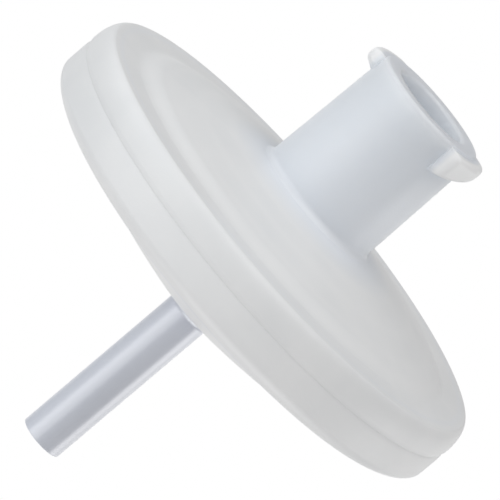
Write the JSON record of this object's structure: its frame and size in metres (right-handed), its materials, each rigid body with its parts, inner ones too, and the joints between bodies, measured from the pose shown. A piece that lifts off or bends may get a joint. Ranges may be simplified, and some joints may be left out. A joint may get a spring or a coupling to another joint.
{
  "type": "syringe filter",
  "caption": "Disc-shaped syringe filter with a female Luer lock inlet, a slim straight tube outlet and a membrane clamped in a welded housing.",
  "frame": {"origin": "centre of the inlet's mouth, in the plane that the filter stands on", "axes": "+Z is the flow axis, from the inlet's mouth up to the outlet's tip; the two Luer lugs are centred on +X and -X"},
  "size_m": [0.026, 0.026, 0.0251],
  "materials": {
    "housing": "natural translucent polypropylene with a fine satin moulded surface",
    "membrane": "plain white microporous sheet"
  },
  "bodies": {
    "root": {"inlet_housing": "housing", "outlet_housing": "housing", "membrane": "membrane"}
  },
  "joints": []
}
